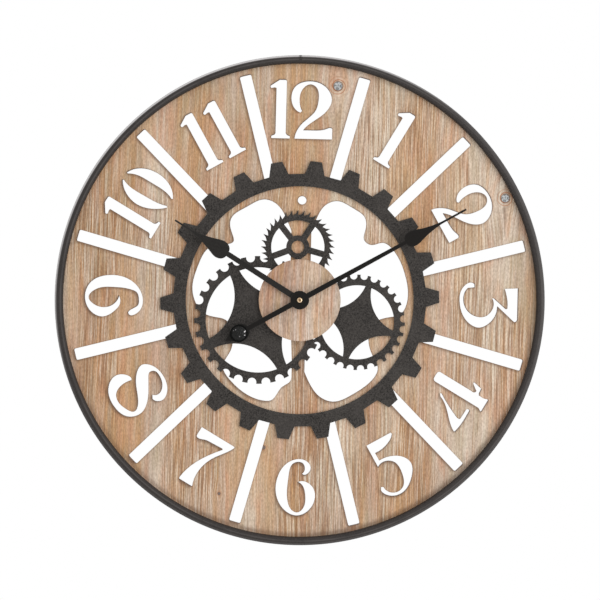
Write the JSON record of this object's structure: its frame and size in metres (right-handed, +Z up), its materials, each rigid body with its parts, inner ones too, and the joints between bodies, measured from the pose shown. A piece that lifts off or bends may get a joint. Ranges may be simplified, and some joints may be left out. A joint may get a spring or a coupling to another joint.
{
  "type": "wall clock",
  "caption": "Round wooden wall clock with a steel rim, cut-through numerals, a toothed ring, decorative gears and spade hands on a quartz movement.",
  "frame": {"origin": "on the axis of the hanging hole, halfway through the dial board", "axes": "+Z up, the dial faces -Y, +X to the right of a person who reads the dial; the wall is towards +Y"},
  "size_m": [0.5999, 0.0497, 0.6],
  "materials": {
    "dial_wood": "matte, burnt along the cut edges",
    "hub_wood": "matte",
    "rim_steel": "satin charcoal",
    "gear_steel": "matte charcoal with fine speckle",
    "nail_steel": "satin",
    "screw_steel": "zinc plated",
    "brass": "turned",
    "gasket_rubber": "matte",
    "hand_black": "black lacquer",
    "case_plastic": "fine grained",
    "plate_plastic": "moulded",
    "wheel_plastic": "moulded",
    "rotor_magnet": "pressed",
    "motor_iron": "punched",
    "copper_wire": "lacquered wire",
    "circuit_laminate": "coated",
    "chip_resin": "cast",
    "bright_can": "drawn",
    "cell_wrap": "gloss sleeve",
    "contact_steel": "nickel plated"
  },
  "bodies": {
    "frame": {"dial_board": "dial_wood", "hub_disc": "hub_wood", "rim_hoop": "rim_steel", "rim_tabs": "rim_steel", "tab_screws": "screw_steel", "gear_ring": "gear_steel", "gear_cluster": "gear_steel", "sheet_nails": "nail_steel", "threaded_bush": "brass", "face_washer": "brass", "hex_nut": "brass", "rubber_gasket": "gasket_rubber", "movement_case": "case_plastic", "movement_cover": "case_plastic", "train_plate": "plate_plastic", "stator": "motor_iron", "coil_core": "motor_iron", "coil_bobbin": "plate_plastic", "coil_winding": "copper_wire", "circuit_board": "circuit_laminate", "controller_chip": "chip_resin", "quartz_crystal": "bright_can", "battery": "cell_wrap", "positive_contact": "contact_steel", "negative_contact": "contact_steel"},
    "minute": {"minute_hand": "hand_black", "minute_collet": "brass", "hand_nut": "brass", "minute_arbor": "brass", "center_wheel": "wheel_plastic"},
    "hour": {"hour_hand": "hand_black", "hour_collet": "brass", "hour_wheel": "wheel_plastic"},
    "motion": {"motion_wheel": "wheel_plastic", "setting_knob": "case_plastic"},
    "third": {"third_wheel": "wheel_plastic"},
    "second": {"second_wheel": "wheel_plastic"},
    "intermediate": {"intermediate_wheel": "wheel_plastic"},
    "rotor": {"rotor": "rotor_magnet"}
  },
  "joints": [
    {"name": "minute_turn", "type": "hinge", "parent": "frame", "child": "minute", "pos_m": [0, 0, -0.1228], "axis": [0, 1, 0], "continuous": true},
    {"name": "hour_turn", "type": "hinge", "parent": "frame", "child": "hour", "pos_m": [0, 0, -0.1228], "axis": [0, 1, 0], "continuous": true},
    {"name": "motion_turn", "type": "hinge", "parent": "frame", "child": "motion", "pos_m": [0.00987, 0, -0.11921], "axis": [0, 1, 0], "continuous": true},
    {"name": "third_turn", "type": "hinge", "parent": "frame", "child": "third", "pos_m": [-0.00883, 0, -0.1177], "axis": [0, 1, 0], "continuous": true},
    {"name": "second_turn", "type": "hinge", "parent": "frame", "child": "second", "pos_m": [0, 0, -0.1228], "axis": [0, 1, 0], "continuous": true},
    {"name": "intermediate_turn", "type": "hinge", "parent": "frame", "child": "intermediate", "pos_m": [0, 0, -0.11405], "axis": [0, 1, 0], "continuous": true},
    {"name": "rotor_turn", "type": "hinge", "parent": "frame", "child": "rotor", "pos_m": [0, 0, -0.10805], "axis": [0, 1, 0], "continuous": true}
  ],
  "couplings": [
    {"joint": "hour_turn", "follows": "minute_turn", "ratio": 0.083333},
    {"joint": "motion_turn", "follows": "minute_turn", "ratio": -0.33333},
    {"joint": "third_turn", "follows": "minute_turn", "ratio": -8},
    {"joint": "second_turn", "follows": "minute_turn", "ratio": 60},
    {"joint": "intermediate_turn", "follows": "minute_turn", "ratio": -360},
    {"joint": "rotor_turn", "follows": "minute_turn", "ratio": 1800}
  ]
}
